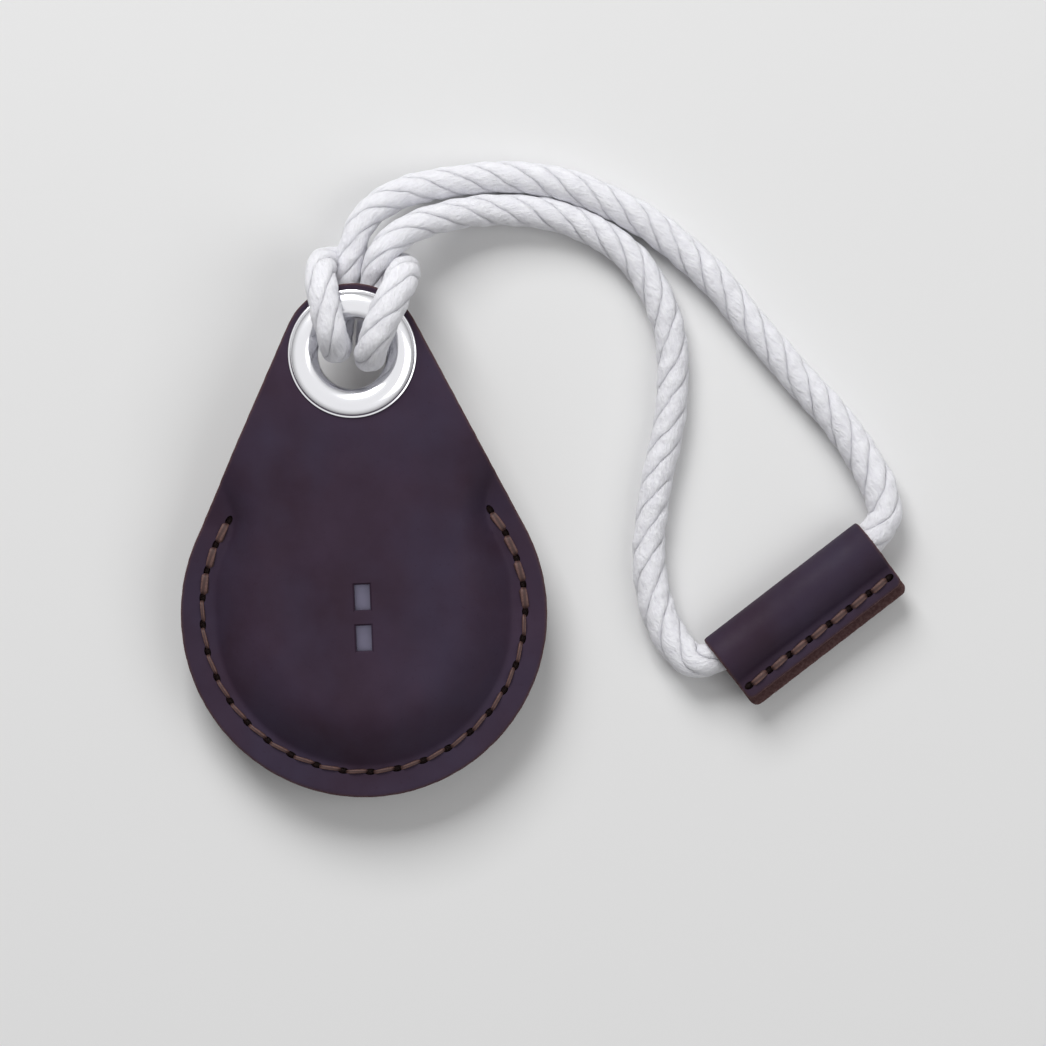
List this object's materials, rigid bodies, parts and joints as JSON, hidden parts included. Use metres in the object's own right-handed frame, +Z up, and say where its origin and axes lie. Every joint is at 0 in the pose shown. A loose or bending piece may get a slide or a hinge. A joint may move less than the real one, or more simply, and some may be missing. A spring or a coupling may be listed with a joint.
{
  "type": "tracker tag holder",
  "caption": "Teardrop leather pouch holding a coin-shaped tracker tag, with an eyelet and a twisted rope loop joined in a sewn leather sleeve.",
  "frame": {"origin": "on the table under the middle of the leather outline, which is the bottom centre of the pouch without its rope loop", "axes": "+Z up and out of the front panel, +Y from the round end towards the eyelet, +X to the right seen from the front"},
  "size_m": [0.0952, 0.0828, 0.0172],
  "materials": {
    "leather": "dark plum leather, satin",
    "thread": "waxed brown thread",
    "eyelet_metal": "polished",
    "rope": "white twisted cotton",
    "tag_plastic": "white gloss",
    "cover_steel": "satin",
    "seal": "matt",
    "contact_metal": "plated",
    "board": "solder mask",
    "chip": "matt",
    "magnet": "plated",
    "coil": "wound wire"
  },
  "bodies": {
    "pouch": {"front_panel": "leather", "back_pocket": "leather", "seam_thread": "thread"},
    "flap": {"tongue": "leather", "eyelet": "eyelet_metal", "eyelet_washer": "eyelet_metal"},
    "hitch": {"rope_hitch": "rope"},
    "loop": {"rope_leg_inner": "rope", "rope_leg_outer": "rope", "sleeve": "leather", "sleeve_thread": "thread"},
    "tag": {"tag_shell": "tag_plastic", "tag_frame": "tag_plastic", "seal_ring": "seal", "coin_cell": "cover_steel", "battery_contacts": "contact_metal", "circuit_board": "board", "board_chips": "chip", "speaker_magnet": "magnet", "voice_coil": "coil", "antenna_ring": "board"},
    "cover": {"battery_cover": "cover_steel"}
  },
  "joints": [
    {"name": "tongue_fold", "type": "hinge", "parent": "pouch", "child": "flap", "pos_m": [0, 0.007, 0.0116], "axis": [1, 0, 0], "range_deg": [0, 90]},
    {"name": "tag_slide", "type": "slide", "parent": "pouch", "child": "tag", "axis": [0, 1, 0], "range_m": [0, 0.0401]},
    {"name": "hitch_turn", "type": "hinge", "parent": "flap", "child": "hitch", "pos_m": [0, 0.0244, 0.0116], "axis": [0, 0, 1], "range_deg": [-8, 30]},
    {"name": "loop_swing", "type": "hinge", "parent": "hitch", "child": "loop", "pos_m": [0.01805, 0.04465, 0.00317], "axis": [0, -1, 0], "range_deg": [-60, 45], "deforming": ["rope_hitch"]},
    {"name": "cover_twist", "type": "hinge", "parent": "tag", "child": "cover", "pos_m": [0, -0.01, 0.0098], "axis": [0, 0, 1], "range_deg": [0, 30]}
  ],
  "couplings": [
    {"joint": "tag_slide", "follows": "tongue_fold", "m_per_rad": 0.02546}
  ]
}
